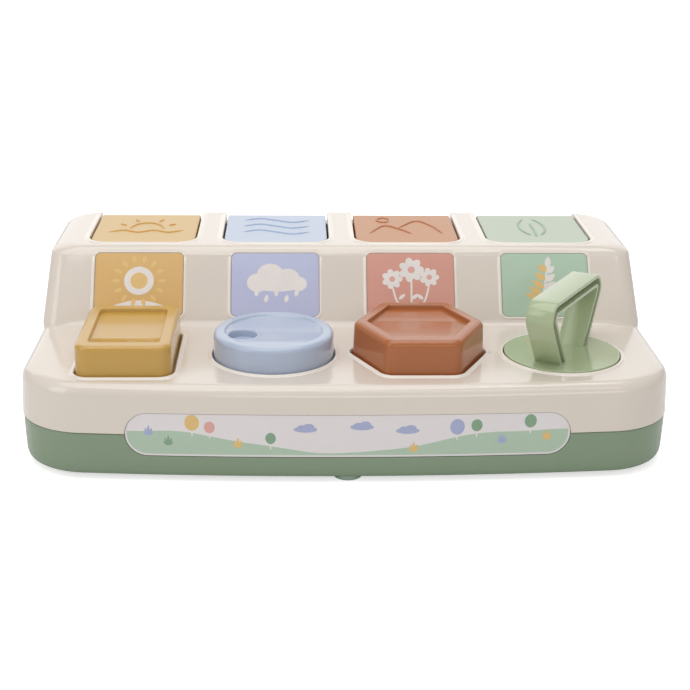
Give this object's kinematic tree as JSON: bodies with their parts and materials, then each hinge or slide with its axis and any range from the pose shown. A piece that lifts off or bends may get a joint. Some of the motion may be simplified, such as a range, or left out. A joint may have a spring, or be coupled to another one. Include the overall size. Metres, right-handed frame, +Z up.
{
  "type": "pop-up activity toy",
  "caption": "Toy with a row of push and turn controls on a front deck, each of which frees a lid on a raised rear deck, so that an animal figure pops up.",
  "frame": {"origin": "on the ground plane, under the middle of the body's box", "axes": "+X to the right of a child facing the front, +Y to the rear, +Z up"},
  "size_m": [0.31, 0.1886, 0.0829],
  "materials": {
    "cream_plastic": "cream ABS with a satin gloss",
    "green_plastic": "sage green ABS with a satin gloss",
    "yellow_plastic": "mustard yellow ABS with a satin gloss",
    "blue_plastic": "pale blue ABS with a satin gloss",
    "orange_plastic": "terracotta ABS with a satin gloss",
    "mint_plastic": "pale sage ABS with a satin gloss",
    "lion_plastic": "moulded ABS",
    "elephant_plastic": "moulded ABS",
    "flamingo_plastic": "moulded ABS",
    "giraffe_plastic": "moulded ABS",
    "card_yellow": null,
    "card_blue": null,
    "card_pink": null,
    "card_green": null,
    "label_film": null,
    "nylon": "natural acetal, not painted",
    "spring_steel": "plated steel wire and screws",
    "foot_rubber": "soft green rubber"
  },
  "bodies": {
    "housing": {"upper_shell": "cream_plastic", "lower_shell": "green_plastic", "front_label": "label_film", "picture_card_yellow": "card_yellow", "picture_card_blue": "card_blue", "picture_card_pink": "card_pink", "picture_card_green": "card_green", "hinge_pin_yellow": "spring_steel", "hinge_pin_blue": "spring_steel", "hinge_pin_orange": "spring_steel", "hinge_pin_green": "spring_steel", "hinge_spring_yellow": "spring_steel", "hinge_spring_blue": "spring_steel", "hinge_spring_orange": "spring_steel", "hinge_spring_green": "spring_steel", "well_yellow": "cream_plastic", "well_blue": "cream_plastic", "well_orange": "cream_plastic", "well_green": "cream_plastic", "latch_spring_yellow": "spring_steel", "latch_spring_blue": "spring_steel", "latch_spring_orange": "spring_steel", "latch_spring_green": "spring_steel", "square_button_springs": "spring_steel", "hexagon_button_springs": "spring_steel", "dial_spring": "spring_steel", "key_spring": "spring_steel", "control_plate": "nylon", "plate_screws": "spring_steel", "case_screws": "spring_steel", "feet": "foot_rubber"},
    "lid_yellow": {"lid_yellow": "yellow_plastic", "lion_figure": "lion_plastic", "catch_tongue_yellow": "nylon"},
    "lid_blue": {"lid_blue": "blue_plastic", "elephant_figure": "elephant_plastic", "catch_tongue_blue": "nylon"},
    "lid_orange": {"lid_orange": "orange_plastic", "flamingo_figure": "flamingo_plastic", "catch_tongue_orange": "nylon"},
    "lid_green": {"lid_green": "mint_plastic", "giraffe_figure": "giraffe_plastic", "catch_tongue_green": "nylon"},
    "latch_yellow": {"latch_yellow": "nylon"},
    "latch_blue": {"latch_blue": "nylon"},
    "latch_orange": {"latch_orange": "nylon"},
    "latch_green": {"latch_green": "nylon"},
    "square_button": {"square_button": "yellow_plastic"},
    "dial": {"dial": "blue_plastic", "dial_washer": "nylon", "dial_screw": "spring_steel"},
    "hexagon_button": {"hexagon_button": "orange_plastic"},
    "turn_key": {"turn_key": "mint_plastic", "key_washer": "nylon", "key_screw": "spring_steel"}
  },
  "joints": [
    {"name": "lid_yellow_hinge", "type": "hinge", "parent": "housing", "child": "lid_yellow", "pos_m": [-0.105, 0.0822, 0.0772], "axis": [-1, 0, 0], "range_deg": [0, 100], "deforming": ["hinge_spring_yellow", "catch_tongue_yellow"]},
    {"name": "lid_blue_hinge", "type": "hinge", "parent": "housing", "child": "lid_blue", "pos_m": [-0.035, 0.0822, 0.0772], "axis": [-1, 0, 0], "range_deg": [0, 100], "deforming": ["hinge_spring_blue", "catch_tongue_blue"]},
    {"name": "lid_orange_hinge", "type": "hinge", "parent": "housing", "child": "lid_orange", "pos_m": [0.035, 0.0822, 0.0772], "axis": [-1, 0, 0], "range_deg": [0, 100], "deforming": ["hinge_spring_orange", "catch_tongue_orange"]},
    {"name": "lid_green_hinge", "type": "hinge", "parent": "housing", "child": "lid_green", "pos_m": [0.105, 0.0822, 0.0772], "axis": [-1, 0, 0], "range_deg": [0, 100], "deforming": ["hinge_spring_green", "catch_tongue_green"]},
    {"name": "square_button_press", "type": "slide", "parent": "housing", "child": "square_button", "axis": [0, 0, -1], "range_m": [0, 0.0045], "stiffness_N_per_m": 500, "springref_m": -0.003, "deforming": ["square_button_springs"]},
    {"name": "dial_turn", "type": "hinge", "parent": "housing", "child": "dial", "pos_m": [-0.035, -0.0476, 0.0472], "axis": [0, 0, -1], "range_deg": [0, 61.3], "deforming": ["dial_spring"]},
    {"name": "hexagon_button_press", "type": "slide", "parent": "housing", "child": "hexagon_button", "axis": [0, 0, -1], "range_m": [0, 0.0045], "stiffness_N_per_m": 500, "springref_m": -0.003, "deforming": ["hexagon_button_springs"]},
    {"name": "turn_key_turn", "type": "hinge", "parent": "housing", "child": "turn_key", "pos_m": [0.105, -0.0476, 0.0472], "axis": [0, 0, -1], "range_deg": [0, 61.3], "deforming": ["key_spring"]},
    {"name": "latch_yellow_slide", "type": "slide", "parent": "housing", "child": "latch_yellow", "axis": [0, -1, 0], "range_m": [0, 0.0046], "deforming": ["latch_spring_yellow"]},
    {"name": "latch_blue_slide", "type": "slide", "parent": "housing", "child": "latch_blue", "axis": [0, -1, 0], "range_m": [0, 0.0045], "stiffness_N_per_m": 500, "springref_m": -0.003, "deforming": ["latch_spring_blue"]},
    {"name": "latch_orange_slide", "type": "slide", "parent": "housing", "child": "latch_orange", "axis": [0, -1, 0], "range_m": [0, 0.0046], "deforming": ["latch_spring_orange"]},
    {"name": "latch_green_slide", "type": "slide", "parent": "housing", "child": "latch_green", "axis": [0, -1, 0], "range_m": [0, 0.0045], "stiffness_N_per_m": 500, "springref_m": -0.003, "deforming": ["latch_spring_green"]}
  ],
  "couplings": [
    {"joint": "latch_yellow_slide", "follows": "square_button_press", "ratio": 1},
    {"joint": "dial_turn", "follows": "latch_blue_slide", "rad_per_m": 232.71},
    {"joint": "latch_orange_slide", "follows": "hexagon_button_press", "ratio": 1},
    {"joint": "turn_key_turn", "follows": "latch_green_slide", "rad_per_m": 232.71}
  ]
}
